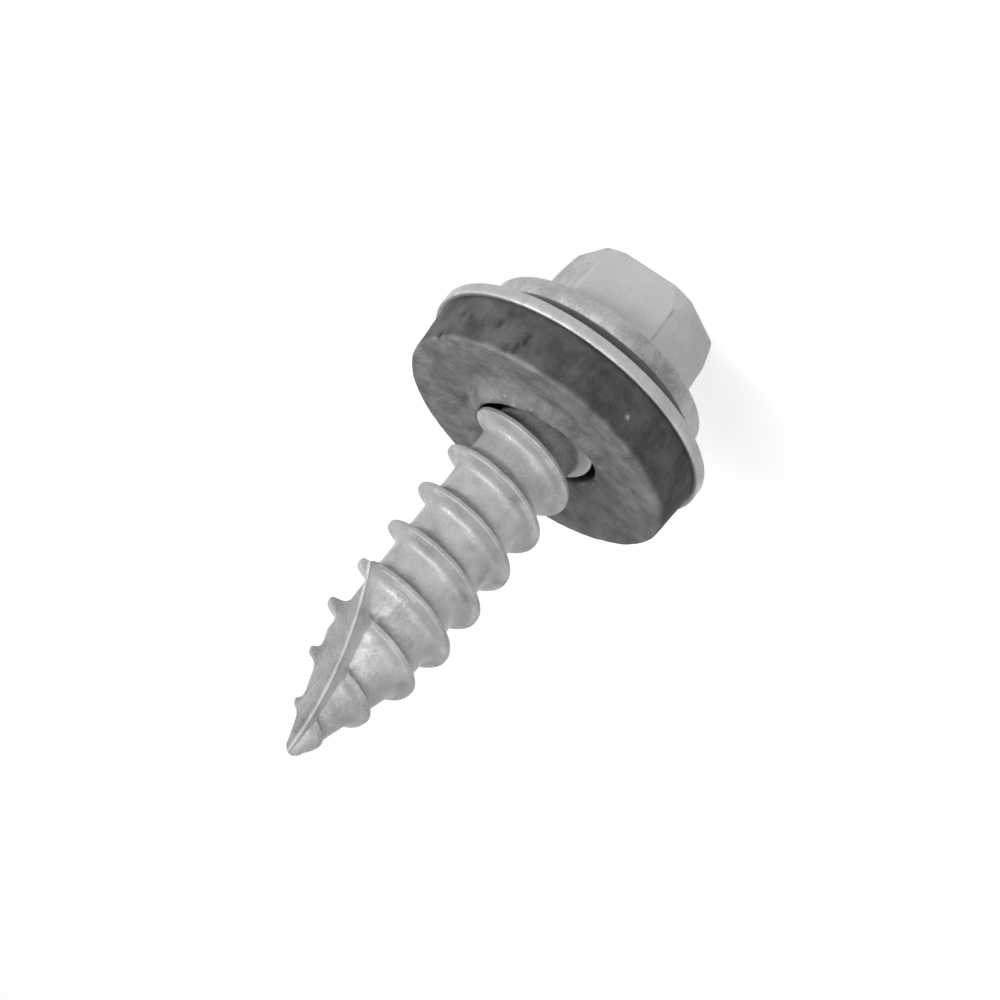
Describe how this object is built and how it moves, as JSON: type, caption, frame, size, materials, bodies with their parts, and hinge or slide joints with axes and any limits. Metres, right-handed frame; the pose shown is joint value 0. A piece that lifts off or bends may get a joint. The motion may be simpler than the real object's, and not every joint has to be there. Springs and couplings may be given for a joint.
{
  "type": "self drilling screw",
  "caption": "Hex flange head roofing screw with a coarse thread, a notched cutting point and a captive metal-backed rubber sealing washer.",
  "frame": {"origin": "centre of the head's flat top face, which is also the centre of the base the part stands on", "axes": "+Z along the screw's axis from the head's top face to the cutting point; two corners of the hexagon lie on X and two of its flats face Y"},
  "size_m": [0.0162, 0.016, 0.0303],
  "materials": {
    "zinc_steel": "dull hot-dip zinc, faintly mottled",
    "washer_metal": "plain zinc, brighter than the screw",
    "seal_rubber": "matte EPDM, dusty on its lower face"
  },
  "bodies": {
    "screw": {"screw": "zinc_steel"},
    "sealing_washer": {"backing_washer": "washer_metal", "rubber_seal": "seal_rubber"}
  },
  "joints": [
    {"name": "washer_spin", "type": "hinge", "parent": "screw", "child": "sealing_washer", "pos_m": [0, 0, 0.00565], "axis": [0, 0, 1], "continuous": true}
  ]
}
